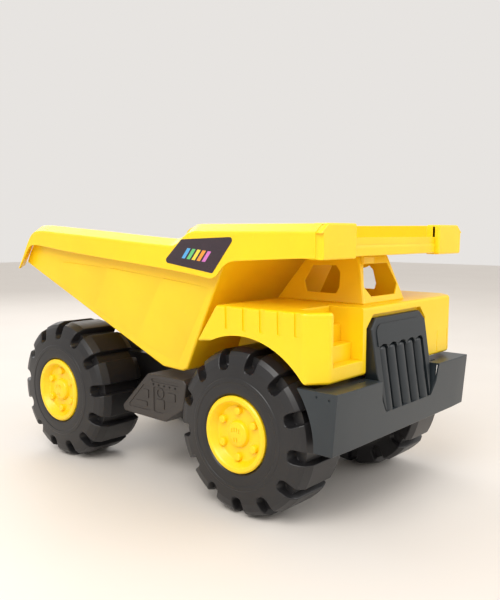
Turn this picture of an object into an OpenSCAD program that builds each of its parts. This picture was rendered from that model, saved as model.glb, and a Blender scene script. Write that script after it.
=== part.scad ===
// Toy dump truck: hollow plastic cab and tipping bed on a chassis with four free-running wheels.
// The truck faces -Y and stands on Z = 0. Its right-hand side is -X.
// Every y below is measured from the front axle; placed() then centres the truck on the origin.

/* [Running gear] */
// Distance between the two axles
wheelbase = 350; // [345:1:355]
// Radius of a tyre over its tread
tyre_r = 100; // [98:0.5:101]
// Distance from the middle of the truck to a tyre's inner shoulder
tyre_inner_x = 86; // [86:0.5:88]
// Width of the tread between the shoulders
tread_w = 70; // [66:1:72]
// Number of lugs round a tyre
lug_count = 13; // [11:1:16]
// Radius of the steel axles
axle_r = 4; // [3.5:0.25:4.5]
// Radial clearance between a wheel bush and its axle
running_gap = 0.05; // [0.02:0.01:0.1]

/* [Body] */
// Height of the cab deck above the ground
deck_z = 248; // [246:1:250]
// Half the width across the fenders
fender_x = 162; // [160:1:164]
// Half the width of the cab body between its front corner chamfers
front_x = 142; // [138:1:146]
// Wall thickness of the yellow mouldings
wall = 2.2; // [2:0.1:2.6]
// Radius of the wheel arch
arch_r = 115; // [113:1:117]

/* [Tipping bed] */
// Half the width over the bed's rim band
rim_x = 167.6; // [166:0.2:168]
// Height of the rim over the cab
rim_z = 342; // [340:1:343]
// Furthest reach of the rear lip behind the front axle
lip_y = 448.5; // [446:0.5:452]
// Height of the hinge pin
pin_z = 190; // [188:1:194]
// Radius of the hinge pin
pin_r = 5; // [4:0.5:6]

/* [Front] */
// Reach of the bumper in front of the front axle
nose_y = 137.5; // [135:0.5:140]
// Half the width of the grille
grille_x = 65; // [63:0.5:66]
// Number of grille bars
bar_count = 5; // [3:1:7]

/* [Hidden] */
$fn = 64;
eps = 0.01;

// The truck reaches from the bumper to the back of the rear tyres.
// Its middle is this far behind the front axle.
middle_y = (wheelbase + tyre_r - nose_y) / 2;
axle_z = tyre_r;
front_y = 0;
rear_y = wheelbase;

// Chassis
rail_x = 62;
rail_top = 150;
chassis_wall = 2.5;
chassis_front = -100;
chassis_back = wheelbase + 24;
sill_z = 80;
web_t = 2.4;
web_ys = [60, 190, 270];
pad = [20, 20, 5.8];
boss_x = tyre_inner_x - 6;
boss_r = 10;
pin_y = wheelbase - 20;
ear_r = 12;
ear_x = 40;
ear_t = 6.5;
bed_ear_x = 47;
bed_ear_t = 6;

// Screws: shank, head and clearance hole, and where they stand
shank_r = 1.6;
head_r = 3.5;
head_t = 2;
hole_r = 1.8;
post_r = 6;
tank_post_r = 5;
cab_posts = [[-45, -70], [45, -70], [-45, 30], [45, 30]];
tank_posts = [[135, 118], [195, 110]];
bumper_posts = [-45, 45];
bumper_post_z = 112;
grille_posts = [-40, 40];
grille_post_z = 218;

// Wheels, measured outwards from the tyre's inner shoulder
bush_in = -4;
hub_face = 58;
rim_plane = 81;
cap_r = 45.4;
bush_r = 9;
spacer_r = 14;
spacer_t = 1.5;
skin = 2.2;
slot_w = 15;
slot_depth = 8;
shoulder_w = 11;
slot_foot_r = 76;
slot_sink = 6.5;
lug_pitch = 360 / lug_count;
lug_w = 2 * PI * tyre_r / lug_count - slot_w;
nut_gap = 0.6;
nut_t = 5;
nut_r = 6.5;
nut_flange_r = 10;
cap_boss_r = 4.5;
cap_boss_row_r = 27;

// Cab
panel_y = -115.4;
panel_z = 170.8;
skirt_x = 80;
skirt_front_y = -98;
cab_foot_z = rail_top + 0.2;
deck_back_y = 33;
arch_y = -5;
groove_ys = [14, -12.5, -37.5, -62.5, -86];
groove_foot_z = 222;
recess_x = 71;
recess_depth = 6;
step_x0 = -137;
step_x1 = -78;
step_rise = 19.5;
step_run = 15;
step_first_z = 188.5;
house_base_x = 48.5;
house_top_x = 34;
house_z = 304;
house_foot_ys = [-98, 33];
house_top_ys = [-80, -6];

// Grille and bumper
grille_lean = 9.5;
grille_slope = tan(grille_lean);
grille_foot_y = 3.2 - nose_y;
grille_foot_z = 128;
grille_rise = 110;
bar_r = 5.6;
bar_h = 76;
bar_row_w = 109;
pocket_x = 51;
panel_x = 56;
bumper_x = 159;
bumper_top = 166.4;
bumper_foot = 98.5;
bumper_back = -101;
bumper_wheel_r = 107;
bumper_crease_x = 124;
bumper_sweep = 1.5;
bumper_rake = 5.5;
notch_foot_x = 56;
notch_top_x = 70;
tray_x = 60;
tray_t = 3;
bumper_post_h = 32;

// Side tanks and the bed's rim
tank_x = 140;
rim_inner_x = 153.5;
block_x = 98.5;
block_front_y = -118.5;
hopper_front_y = -112;
beam_z = 326;
beam_foot_z = 306;
beam_t = 6;
decal_t = 0.4;

// Colours
plum = [0.13, 0.08, 0.14];
yellow = [0.98, 0.78, 0.05];
black = [0.09, 0.09, 0.10];
slate = [0.20, 0.24, 0.27];
umber = [0.26, 0.23, 0.22];
steel = [0.70, 0.71, 0.73];

// Moves a piece from axle-based to truck-centred coordinates
module placed() { translate([0, -middle_y, 0]) children(); }

// Sweeps a side outline of [y, z] points from x0 to x1
module across(x0, x1) { translate([x0, 0, 0]) rotate([90, 0, 90]) linear_extrude(x1 - x0) children(); }

// Sweeps a front outline of [x, z] points from y0 to y1
module along(y0, y1) { translate([0, y1, 0]) rotate([90, 0, 0]) linear_extrude(y1 - y0) children(); }

// A round bar across the truck from x0 to x1
module bar(r, x0, x1, y, z) { translate([x0, y, z]) rotate([0, 90, 0]) cylinder(r = r, h = x1 - x0); }

// Repeats children on both sides of the truck
module both_sides() {
  children();
  mirror([1, 0, 0]) children();
}

// A pan-head screw that points along +Z, its head's underside at z = 0
module screw(length) {
  translate([0, 0, -head_t]) cylinder(r = head_r, h = head_t);
  translate([0, 0, -eps]) cylinder(r = shank_r, h = length);
}

// ---------- chassis ----------
chassis_side = [
  [chassis_front, 104], [chassis_front, rail_top], [chassis_back, rail_top], [chassis_back, 112],
  [wheelbase + 8, sill_z], [-18, sill_z], [-60, 104]
];

module chassis_hollow() {
  t = chassis_wall;
  across(-rail_x + t, rail_x - t) polygon([
    [chassis_front + t, sill_z - 20], [chassis_front + t, rail_top - t], [chassis_back - t, rail_top - t],
    [chassis_back - t, sill_z - 20]
  ]);
}

module chassis_frame() {
  color(black) placed() difference() {
    union() {
      difference() {
        across(-rail_x, rail_x) polygon(chassis_side);
        chassis_hollow();
      }
      for (y = [front_y, rear_y]) bar(boss_r, -boss_x, boss_x, y, axle_z);
      // Cross webs that stiffen the rails and carry the tank screws
      for (y = web_ys) translate([1 - rail_x, y - web_t / 2, sill_z + 10])
        cube([2 * rail_x - 2, web_t, rail_top - sill_z - 11]);
      both_sides() across(ear_x, ear_x + ear_t) hinge_ear();
      // Rest pads under the front of the bed
      both_sides() translate([30, 118, rail_top - eps]) cube(pad);
    }
    for (y = [front_y, rear_y]) bar(axle_r, -boss_x - 1, boss_x + 1, y, axle_z);
    bar(pin_r, -rail_x, rail_x, pin_y, pin_z);
    // Clearance holes for the cab, tank and bumper screws
    for (p = cab_posts) translate([p[0], p[1], rail_top - 5]) cylinder(r = hole_r, h = 8);
    both_sides() for (p = tank_posts) bar(hole_r, rail_x - 5, rail_x + 3, p[0], p[1]);
    for (x = bumper_posts) translate([x, chassis_front + 5, bumper_post_z]) rotate([90, 0, 0])
      cylinder(r = hole_r, h = 8);
  }
}

module hinge_ear() {
  polygon([
    [pin_y - 26, rail_top - 4], [pin_y - ear_r, pin_z], [pin_y + ear_r, pin_z], [pin_y + 26, rail_top - 4]
  ]);
  translate([pin_y, pin_z]) circle(r = ear_r);
}

module axle(y) {
  nut_face = tyre_inner_x + hub_face + nut_gap;
  color(steel) placed() bar(axle_r, -nut_face - nut_t - 1, nut_face + nut_t + 1, y, axle_z);
}

module axle_spacers() {
  color(steel) placed() for (y = [front_y, rear_y]) both_sides() difference() {
    bar(spacer_r, boss_x, boss_x + spacer_t, y, axle_z);
    bar(axle_r, boss_x - 1, boss_x + 3, y, axle_z);
  }
}

module axle_nut(side, y) {
  face = tyre_inner_x + hub_face + nut_gap;
  color(steel) placed() mirror([side < 0 ? 1 : 0, 0, 0]) difference() {
    union() {
      bar(nut_flange_r, face, face + 1.5, y, axle_z);
      bar(nut_r, face, face + nut_t, y, axle_z);
    }
    bar(axle_r, face - 1, face + nut_t + 1, y, axle_z);
  }
}

// ---------- wheels ----------
// Outlines are [radius, distance out from the inner shoulder]
module tyre_outline() {
  polygon([
    [bush_r, bush_in], [22, bush_in], [30, 3], [58, 3], [72, 0], [tyre_r - 4, 0], [tyre_r, shoulder_w],
    [tyre_r, tread_w - shoulder_w], [tyre_r - 4, tread_w], [92, tread_w + 3], [82, tread_w + 6.5],
    [70, tread_w + 8.5], [54, tread_w + 9.5], [cap_r + 2, tread_w + 9], [cap_r, tread_w + 7.5],
    [cap_r, hub_face], [bush_r, hub_face]
  ]);
}

module tyre_cavity() {
  inner_r = tyre_r - slot_depth - skin;
  foot = slot_foot_r - skin;
  polygon([
    [24, bush_in + 8], [32, 3 + skin], [58, 3 + skin], [foot, 1.2 + skin], [foot, slot_sink + skin],
    [inner_r, slot_sink + skin], [inner_r, tread_w - slot_sink - skin], [foot, tread_w - slot_sink - skin],
    [slot_foot_r - 6, tread_w + 5], [54, tread_w + 6.5], [cap_r + 4, tread_w + 5],
    [cap_r + 3, hub_face - skin - 1], [24, hub_face - skin - 1]
  ]);
}

// Repeats children round the wheel, once a lug, starting at a share of the pitch
module each_lug(share) { for (i = [0 : lug_count - 1]) rotate([lug_pitch * (i + share), 0, 0]) children(); }

// A block on the tread from x0 to x1, w wide and from r0 to r1 high
module tread_block(x0, x1, w, r0, r1) { translate([x0, -w / 2, r0]) cube([x1 - x0, w, r1 - r0]); }

// The U-shaped end of a slot in a sidewall, cut outwards from x0
module slot_foot(x0) {
  translate([x0, 0, 0]) rotate([90, 0, 90]) linear_extrude(30) {
    translate([0, slot_foot_r + slot_w / 2]) circle(d = slot_w);
    translate([-slot_w / 2, slot_foot_r + slot_w / 2]) square([slot_w, 30]);
  }
}

// One slot across the tread between two lugs, with a U-shaped foot in each sidewall
module lug_slot() {
  tread_block(-10, tread_w + 10, slot_w, tyre_r - slot_depth, tyre_r + 5);
  slot_foot(tread_w - slot_sink);
  slot_foot(slot_sink - 30);
}

module tyre(side, y) {
  color(black) placed() translate([0, y, axle_z]) mirror([side < 0 ? 1 : 0, 0, 0])
    translate([tyre_inner_x, 0, 0]) difference() {
      rotate([0, 90, 0]) rotate_extrude() tyre_outline();
      rotate([0, 90, 0]) rotate_extrude() tyre_cavity();
      each_lug(0) lug_slot();
      // The hollow runs up into each lug
      each_lug(0.5) tread_block(slot_sink + 4, tread_w - slot_sink - 4, lug_w - 8, 84, tyre_r - 1.8 * skin);
    }
}

module hub_cap(side, y) {
  // A pressed cap: raised rim, dished ring and a round crown over the axle nut
  color(yellow) placed() translate([0, y, axle_z]) mirror([side < 0 ? 1 : 0, 0, 0])
    translate([tyre_inner_x, 0, 0]) {
      rotate([0, 90, 0]) rotate_extrude() polygon([
        [0, rim_plane - 4], [14, rim_plane - 4], [15.5, rim_plane - 5.5], [16.5, rim_plane - 10],
        [35, rim_plane - 10], [37.5, rim_plane - 2], [39.5, rim_plane], [43.5, rim_plane],
        [cap_r, rim_plane - 2], [cap_r, hub_face + 4], [cap_r - 2.5, hub_face + 4],
        [cap_r - 2.5, rim_plane - 4], [41, rim_plane - 3], [40, rim_plane - 4], [36, rim_plane - 13],
        [14, rim_plane - 13], [12.5, rim_plane - 7], [0, rim_plane - 7]
      ]);
      for (i = [0 : 5]) rotate([60 * i, 0, 0]) translate([rim_plane - 10.5, 0, cap_boss_row_r])
        rotate([0, 90, 0]) cylinder(r = cap_boss_r, h = 5.5);
    }
}

module wheel_bush(side, y) {
  color(slate) placed() mirror([side < 0 ? 1 : 0, 0, 0]) difference() {
    bar(bush_r, tyre_inner_x + bush_in, tyre_inner_x + hub_face, y, axle_z);
    bar(axle_r + running_gap, tyre_inner_x - 20, tyre_inner_x + hub_face + 1, y, axle_z);
  }
}

// ---------- front ----------
module grille_face() {
  polygon([
    [-52.5, 234.5], [52.5, 234.5], [grille_x, 223], [grille_x - 0.5, 172], [57, 137], [54, grille_foot_z],
    [-54, grille_foot_z], [-57, 137], [0.5 - grille_x, 172], [-grille_x, 223]
  ]);
}

// Carries children on the sloping front face, with z measured up that face from its foot
module on_grille() { translate([0, grille_foot_y, grille_foot_z]) rotate([-grille_lean, 0, 0]) children(); }

module grille() {
  color(slate) placed() {
    grille_frame();
    on_grille() for (i = [0 : bar_count - 1])
      translate([(i - (bar_count - 1) / 2) * bar_row_w / bar_count, bar_r, 2])
        cylinder(r = bar_r, h = bar_h - 2);
  }
}

module grille_frame() {
  difference() {
    union() {
      intersection() {
        along(-140, panel_y + recess_depth) grille_face();
        across(-80, 80) polygon([
          [grille_foot_y - grille_slope, grille_foot_z - 1],
          [grille_foot_y + grille_rise * grille_slope, grille_foot_z + grille_rise],
          [panel_y + recess_depth, grille_foot_z + grille_rise], [panel_y + recess_depth, grille_foot_z - 1]
        ]);
      }
      on_grille() translate([-panel_x, -1.5, bar_h + 2]) cube([2 * panel_x, 5, 22.5]);
    }
    // Pocket for the bars, open at the foot
    on_grille() translate([-pocket_x, -5, -10]) cube([2 * pocket_x, 5 + bar_r, bar_h + 10]);
    // Hollow back
    intersection() {
      along(-140, panel_y + recess_depth + 1) scale([0.93, 0.97]) translate([0, 3]) grille_face();
      across(-80, 80) polygon([[-124.5, 131], [-112, 205], [-100, 205], [-100, 131]]);
    }
    // Pilot holes for the screws that come through the front panel
    for (x = grille_posts) translate([x, panel_y + recess_depth + eps, grille_post_z]) rotate([90, 0, 0])
      cylinder(r = shank_r, h = 5);
  }
}

module grille_screws() {
  color(steel) placed() for (x = grille_posts)
    translate([x, panel_y + recess_depth + wall, grille_post_z]) rotate([90, 0, 0]) screw(7);
}

module bumper_outline(inset) {
  side = bumper_x - inset;
  back = inset > 0 ? -40 : -80;
  polygon([
    [-side, bumper_sweep - nose_y + inset], [-bumper_crease_x, -nose_y + inset],
    [bumper_crease_x, -nose_y + inset], [side, bumper_sweep - nose_y + inset], [side, back], [-side, back]
  ]);
}

// Rakes the front of the bumper back towards its foot
module raked() {
  k = bumper_rake / (bumper_top - bumper_foot);
  multmatrix([[1, 0, 0, 0], [0, 1, -k, k * bumper_top], [0, 0, 1, 0], [0, 0, 0, 1]]) children();
}

module bumper_notch() {
  along(-nose_y - 5, -105) both_sides() polygon([
    [-1, grille_foot_z], [notch_foot_x, grille_foot_z], [notch_foot_x + 4, 130.5], [notch_foot_x + 7, 135],
    [notch_top_x - 2.5, 147], [notch_top_x, bumper_top], [notch_top_x, bumper_top + 5], [-1, bumper_top + 5]
  ]);
}

module bumper() {
  color(slate) placed() difference() {
    union() {
      difference() {
        raked() translate([0, 0, bumper_foot]) linear_extrude(bumper_top - bumper_foot) bumper_outline(0);
        raked() translate([0, 0, bumper_foot - 1]) linear_extrude(bumper_top - bumper_foot + 1 - wall)
          bumper_outline(wall);
        // The middle of the top shelf ends ahead of the chassis
        translate([-150, bumper_back, 90]) cube([300, 60, 90]);
      }
      // Tray behind the notch, under the foot of the grille
      translate([-tray_x, -133, grille_foot_z - tray_t]) cube([2 * tray_x, 28, tray_t]);
      // Screw posts that reach back to the chassis
      for (x = bumper_posts) translate([x, chassis_front, bumper_post_z]) rotate([90, 0, 0])
        cylinder(r = post_r, h = bumper_post_h);
    }
    bumper_notch();
    both_sides() bar(bumper_wheel_r, 84, 170, front_y, axle_z);
    for (x = bumper_posts) translate([x, chassis_front + 1, bumper_post_z]) rotate([90, 0, 0])
      cylinder(r = shank_r, h = 13);
  }
}

module bumper_screws() {
  color(steel) placed() for (x = bumper_posts)
    translate([x, chassis_front + chassis_wall, bumper_post_z]) rotate([90, 0, 0]) screw(14);
}

// ---------- cab ----------
module cab_plan(inset) {
  f = fender_x - inset;
  c = fender_x - front_x - inset * 0.4;
  polygon([
    [-f, 80], [-f, panel_y + inset + c], [-f + c, panel_y + inset], [f - c, panel_y + inset],
    [f, panel_y + inset + c], [f, 80]
  ]);
}

module cab_side(inset) {
  polygon([
    [panel_y - 1, panel_z - 2 * inset], [panel_y - 1, deck_z - inset], [deck_back_y - inset, deck_z - inset],
    [65 - inset * 1.2, 202 - 2 * inset], [41.5 - inset, 204.5 - 2 * inset], [arch_y, 204.5 - 2 * inset],
    [arch_y, panel_z - 2 * inset]
  ]);
}

module skirt_side(inset) {
  polygon([
    [skirt_front_y + inset, cab_foot_z - 2 * inset], [skirt_front_y + inset, deck_z - inset],
    [deck_back_y - inset, deck_z - inset], [65 - inset * 1.2, 202], [84 - inset * 1.2, cab_foot_z - 2 * inset]
  ]);
}

// The stairwell from step i upwards; grow thickens it into its own walls
module stairwell(grow) {
  for (i = [0 : 2]) {
    z0 = step_first_z + i * step_rise - grow;
    y1 = panel_y + (i + 1) * step_run + grow;
    translate([step_x0 - grow, panel_y - 5, z0])
      cube([step_x1 - step_x0 + 2 * grow, y1 - panel_y + 5, deck_z + 5 - z0]);
  }
}

module grille_recess(grow) {
  along(panel_y - 5, panel_y + recess_depth + grow) polygon([
    [-recess_x - grow, 160], [-recess_x - grow, 224 + grow], [-57, 239 + grow * 0.3], [57, 239 + grow * 0.3],
    [recess_x + grow, 224 + grow], [recess_x + grow, 160]
  ]);
}

module fender_groove(y) {
  translate([0, y - 4, groove_foot_z]) both_sides() translate([fender_x - 1.2, 0, 0]) cube([5, 8, 20]);
}

module cab_body() {
  color(yellow) placed() difference() {
    union() {
      difference() {
        union() {
          intersection() {
            linear_extrude(deck_z) cab_plan(0);
            across(-170, 170) cab_side(0);
          }
          across(-skirt_x, skirt_x) skirt_side(0);
        }
        difference() {
          union() {
            intersection() {
              linear_extrude(deck_z) cab_plan(wall);
              across(-170, 170) cab_side(wall);
            }
            across(-skirt_x + wall, skirt_x - wall) skirt_side(wall);
          }
          stairwell(wall);
          grille_recess(wall);
          both_sides() across(skirt_x - wall, skirt_x) skirt_side(0);
          for (p = cab_posts) translate([p[0], p[1], rail_top]) cylinder(r = post_r, h = 96);
        }
      }
    }
    both_sides() bar(arch_r, skirt_x + eps, 170, arch_y, axle_z);
    stairwell(0);
    grille_recess(0);
    for (y = groove_ys) fender_groove(y);
    for (p = cab_posts) translate([p[0], p[1], rail_top - 1]) cylinder(r = shank_r, h = 20);
    for (x = grille_posts) translate([x, panel_y, grille_post_z]) rotate([-90, 0, 0])
      cylinder(r = hole_r, h = 20);
  }
}

module cab_screws() {
  color(steel) placed() for (p = cab_posts) translate([p[0], p[1], rail_top - chassis_wall]) screw(15);
}

module house_front(inset) {
  polygon([
    [-house_base_x + inset, deck_z], [-house_top_x + inset, house_z - inset],
    [house_top_x - inset, house_z - inset], [house_base_x - inset, deck_z]
  ]);
}

module house_side(inset, back) {
  polygon([
    [house_foot_ys[0] + inset * 1.05, deck_z], [house_top_ys[0] + inset * 1.05, house_z - inset],
    [house_top_ys[1] + back, house_z - inset], [house_foot_ys[1] + back, deck_z]
  ]);
}

module side_window() {
  polygon([[-6.5, 271.6], [-16, 291], [-50, 292], [-57.5, 284], [-59.5, 266], [-56, 258.5], [-13, 259]]);
}

module windscreen() {
  polygon([[-28, 256], [-39, 268], [-28, 294], [28, 294], [39, 268], [28, 256]]);
}

module cab_house() {
  color(yellow) placed() difference() {
    union() {
      intersection() {
        along(-110, 50) house_front(0);
        across(-60, 60) house_side(0, 0);
      }
      // Brow panel on the header above the windscreen
      translate([-32, -85.5, 294.5]) cube([24, 6, 9]);
    }
    intersection() {
      along(-110, 60) house_front(wall);
      across(-60, 60) house_side(wall, 20);
    }
    across(-60, 60) side_window();
    along(-110, -60) windscreen();
  }
}

// ---------- side tanks ----------
tank_side = [[106, 138], [112, 105], [146, 83], [230, 85], [233, 93], [180, 144], [112, 144]];
module side_tank() {
  difference() {
    across(rail_x, tank_x) polygon(tank_side);
    across(rail_x - 1, tank_x - wall) polygon([
      [109, 138], [115, 107], [147, 86], [228, 88], [229.5, 92.5], [178.5, 141], [114, 141]
    ]);
    // Sunk panels in the outer face
    across(tank_x - 1, tank_x + 1) polygon([[118, 128], [122, 110], [150, 94], [168, 94], [168, 128]]);
    across(tank_x - 1, tank_x + 1) polygon([[174, 128], [174, 94], [222, 94], [188, 128]]);
  }
  // Screw posts that reach the rail
  for (p = tank_posts) difference() {
    bar(tank_post_r, rail_x, tank_x - wall + eps, p[0], p[1]);
    bar(shank_r, rail_x - 1, rail_x + 12, p[0], p[1]);
  }
}

module side_tank_right() { color(umber) placed() mirror([1, 0, 0]) side_tank(); }

module side_tank_left() { color(umber) placed() side_tank(); }

module tank_screws() {
  color(steel) placed() both_sides() for (p = tank_posts) {
    translate([rail_x - chassis_wall, p[0], p[1]]) rotate([0, 90, 0]) screw(12);
  }
}

// ---------- tipping bed ----------
// Rim stations along the bed: [y, height of the rim, height of the band's foot]
rim_stations = [
  [-118, rim_z, 305], [-94, rim_z, 305], [7, rim_z, 299], [16, rim_z, 293.6], [30, rim_z, 277],
  [51, rim_z, 280],
  [71, rim_z, 282.5], [95, 324, 285], [139, 326.3, 289], [238, 333, 297], [330, 338.8, 305], [380, 341.8, 311]
];
// Section of the rim at one station: an outward flange with a bevelled edge and a hanging skirt
function rim_section(s) = [
  for (p = [
    [rim_x, s[2]], [rim_x, s[1] - 10], [rim_inner_x, s[1]], [rim_inner_x, s[1] - wall - 2],
    [rim_x - wall, s[1] - wall - 9.5], [rim_x - wall, s[2]]
  ]) [p[0], s[0], p[1]]
];

module rim_channel() {
  n = 6;
  last = len(rim_stations) - 1;
  points = [for (s = rim_stations) for (p = rim_section(s)) p];
  sides = [
    for (k = [0 : last - 1]) for (i = [0 : n - 1]) let (j = (i + 1) % n)
      for (f = [[k * n + i, k * n + n + j, k * n + n + i], [k * n + i, k * n + j, k * n + n + j]]) f
  ];
  // Each end of the section is a strip of four triangles
  strip = [[0, 1, 4], [0, 4, 5], [1, 2, 3], [1, 3, 4]];
  start = [for (f = strip) [f[2], f[1], f[0]]];
  finish = [for (f = strip) [last * n + f[0], last * n + f[1], last * n + f[2]]];
  polyhedron(points = points, faces = concat(sides, start, finish), convexity = 6);
}

module bed_section(inset) {
  polygon([
    [-140 + inset, 150], [-155 + inset, 297], [-155 + inset, 350], [155 - inset, 350], [155 - inset, 297],
    [140 - inset, 150]
  ]);
}

module bed_outside() {
  polygon([
    [hopper_front_y, beam_foot_z], [19.7, beam_foot_z], [103, 160], [112, 156], [148, 157.5], [440, 284.5],
    [403, 334], [380, 340.5], [95, 322.7], [71, rim_z - 1.3], [hopper_front_y, rim_z - 1.3]
  ]);
}

module bed_inside() {
  polygon([
    [-109, 309], [22, 309], [106.2, 161.8], [113, 159.2], [147.5, 160.8], [470, 301], [470, 360], [-109, 360]
  ]);
}

module rear_lip() {
  polygon([
    [378, 341.7], [396, 340], [406, 333], [lip_y, 282], [lip_y - 1.5, 277.5], [438, 275], [410, 312],
    [378, 310.5]
  ]);
}

module bed_ear() {
  polygon([[pin_y - ear_r, pin_z], [pin_y - 34, 224.5], [pin_y + 30, 252], [pin_y + ear_r, pin_z]]);
  translate([pin_y, pin_z]) circle(r = ear_r);
}

module dump_bed() {
  color(yellow) placed() difference() {
    union() {
      difference() {
        intersection() {
          across(-160, 160) bed_outside();
          along(-120, 460) bed_section(0);
        }
        intersection() {
          across(-160, 160) bed_inside();
          along(-121, 480) bed_section(wall);
        }
      }
      both_sides() rim_channel();
      both_sides() across(rim_inner_x, rim_x) rear_lip();
      // Front beam of the canopy and its two corner blocks
      translate([-block_x - 1, hopper_front_y, beam_foot_z])
        cube([2 * block_x + 2, beam_t, beam_z - beam_foot_z]);
      both_sides() difference() {
        along(block_front_y, -100) polygon([
          [block_x, 303.5], [block_x, rim_z], [rim_inner_x, rim_z], [rim_x, rim_z - 10], [rim_x, 305],
          [160, 303.5]
        ]);
        along(block_front_y + 3, -99) polygon([
          [block_x + 3, 300], [block_x + 3, rim_z - wall], [rim_inner_x, rim_z - wall],
          [rim_x - wall, rim_z - 12], [rim_x - wall, 300]
        ]);
      }
      both_sides() across(bed_ear_x, bed_ear_x + bed_ear_t) bed_ear();
    }
    // The canopy is open over its front beam
    translate([-block_x, -120, beam_z]) cube([2 * block_x, 12, 30]);
    bar(pin_r + running_gap, -70, 70, pin_y, pin_z);
  }
}

module decal() {
  across(rim_x, rim_x + decal_t) polygon([[114.7, 295], [82, 323.5], [-4, 327], [32, 284]]);
}

module bed_decal_left() { color(plum) placed() decal(); }

module bed_decal_right() { color(plum) placed() mirror([1, 0, 0]) decal(); }

module bed_hinge_pin() { color(steel) placed() bar(pin_r, -58, 58, pin_y, pin_z); }

module hinge_pin_caps() {
  color(black) placed() both_sides() difference() {
    bar(9, bed_ear_x + bed_ear_t + 0.5, 60, pin_y, pin_z);
    bar(pin_r, bed_ear_x, 58, pin_y, pin_z);
  }
}

chassis_frame();
axle(front_y);  // front_axle
axle(rear_y);  // rear_axle
axle_spacers();
cab_body();
cab_house();
grille();
bumper();
side_tank_right();
side_tank_left();
bed_hinge_pin();
hinge_pin_caps();
cab_screws();
bumper_screws();
tank_screws();
grille_screws();
dump_bed();
bed_decal_right();
bed_decal_left();
tyre(-1, front_y);  // tyre_front_right
tyre(1, front_y);  // tyre_front_left
tyre(-1, rear_y);  // tyre_rear_right
tyre(1, rear_y);  // tyre_rear_left
hub_cap(-1, front_y);  // hub_cap_front_right
hub_cap(1, front_y);  // hub_cap_front_left
hub_cap(-1, rear_y);  // hub_cap_rear_right
hub_cap(1, rear_y);  // hub_cap_rear_left
wheel_bush(-1, front_y);  // wheel_bush_front_right
wheel_bush(1, front_y);  // wheel_bush_front_left
wheel_bush(-1, rear_y);  // wheel_bush_rear_right
wheel_bush(1, rear_y);  // wheel_bush_rear_left
axle_nut(-1, front_y);  // axle_nut_front_right
axle_nut(1, front_y);  // axle_nut_front_left
axle_nut(-1, rear_y);  // axle_nut_rear_right
axle_nut(1, rear_y);  // axle_nut_rear_left
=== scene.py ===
"""The looks of a toy dump truck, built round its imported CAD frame.

Shapes are drawn in millimetres. Along the truck they are measured from the front axle towards the
tail, across it from the middle towards its left-hand side, and upwards from the ground.
"""

import math

import bmesh
import bpy
from mathutils import Matrix, Vector


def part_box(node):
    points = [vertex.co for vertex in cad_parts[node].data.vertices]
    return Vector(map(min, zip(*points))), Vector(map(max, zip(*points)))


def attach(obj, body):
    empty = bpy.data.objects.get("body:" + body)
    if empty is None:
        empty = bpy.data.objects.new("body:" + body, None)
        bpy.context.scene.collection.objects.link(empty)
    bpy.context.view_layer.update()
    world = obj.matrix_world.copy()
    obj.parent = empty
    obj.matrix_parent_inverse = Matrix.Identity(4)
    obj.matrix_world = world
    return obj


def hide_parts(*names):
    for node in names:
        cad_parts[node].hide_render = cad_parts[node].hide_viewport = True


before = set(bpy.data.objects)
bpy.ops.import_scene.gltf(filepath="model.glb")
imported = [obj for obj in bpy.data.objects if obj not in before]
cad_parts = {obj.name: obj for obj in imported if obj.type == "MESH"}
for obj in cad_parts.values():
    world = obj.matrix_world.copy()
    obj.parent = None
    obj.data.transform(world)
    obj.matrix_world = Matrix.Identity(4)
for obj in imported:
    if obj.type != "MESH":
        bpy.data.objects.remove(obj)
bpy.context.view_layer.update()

MM = 0.001


# ---------- places taken from the frame ----------
def middle(node):
    low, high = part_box(node)
    return (low + high) / 2


def reach(node, axis, end=1):
    """How far a node reaches along one axis, in mm, with y measured from the front axle."""
    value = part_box(node)[end][axis]
    return (value - (front_axle.y if axis == 1 else 0)) / MM


front_axle = middle("front_axle")
WHEELBASE = (middle("rear_axle").y - front_axle.y) / MM
AXLE_Z = front_axle.z / MM
TYRE_R = (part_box("tyre_front_left")[1].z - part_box("tyre_front_left")[0].z) / 2 / MM
TYRE_IN = reach("tyre_front_left", 0, 0) + 4
TREAD_W = 70
CAP_R = (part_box("hub_cap_front_left")[1].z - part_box("hub_cap_front_left")[0].z) / 2 / MM
DECK_Z = reach("cab_body", 2)
FENDER_X = reach("cab_body", 0)
PANEL_Y = reach("cab_body", 1, 0)
PANEL_FOOT = 170.8
HOUSE_Z = reach("cab_house", 2)
NOSE_Y = reach("bumper", 1, 0)
BUMPER_X = reach("bumper", 0)
BUMPER_TOP = reach("bumper", 2)
BUMPER_FOOT = reach("bumper", 2, 0)
GRILLE_FOOT = reach("grille", 2, 0)
RIM_X = reach("dump_bed", 0)
RIM_Z = reach("dump_bed", 2)
LIP_Y = reach("dump_bed", 1)
CANOPY_Y = reach("dump_bed", 1, 0)
PIN_Y = middle("bed_hinge_pin").y / MM - front_axle.y / MM
PIN_Z = middle("bed_hinge_pin").z / MM
TANK_X = reach("side_tank_left", 0)
WALL = 2.2


def place(x, y, z):
    """A point of the truck in metres, in the frame."""
    return Vector((x * MM, front_axle.y + y * MM, z * MM))


# ---------- shaping tools ----------
def to_object(bm, name="part"):
    mesh = bpy.data.meshes.new(name)
    bm.to_mesh(mesh)
    bm.free()
    obj = bpy.data.objects.new(name, mesh)
    bpy.context.scene.collection.objects.link(obj)
    return obj


def settle(obj):
    """Turns an object and its modifiers into a plain mesh."""
    bpy.context.view_layer.update()
    mesh = bpy.data.meshes.new_from_object(obj.evaluated_get(bpy.context.evaluated_depsgraph_get()))
    obj.modifiers.clear()
    spent = obj.data
    obj.data = mesh
    bpy.data.meshes.remove(spent)
    return obj


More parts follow.
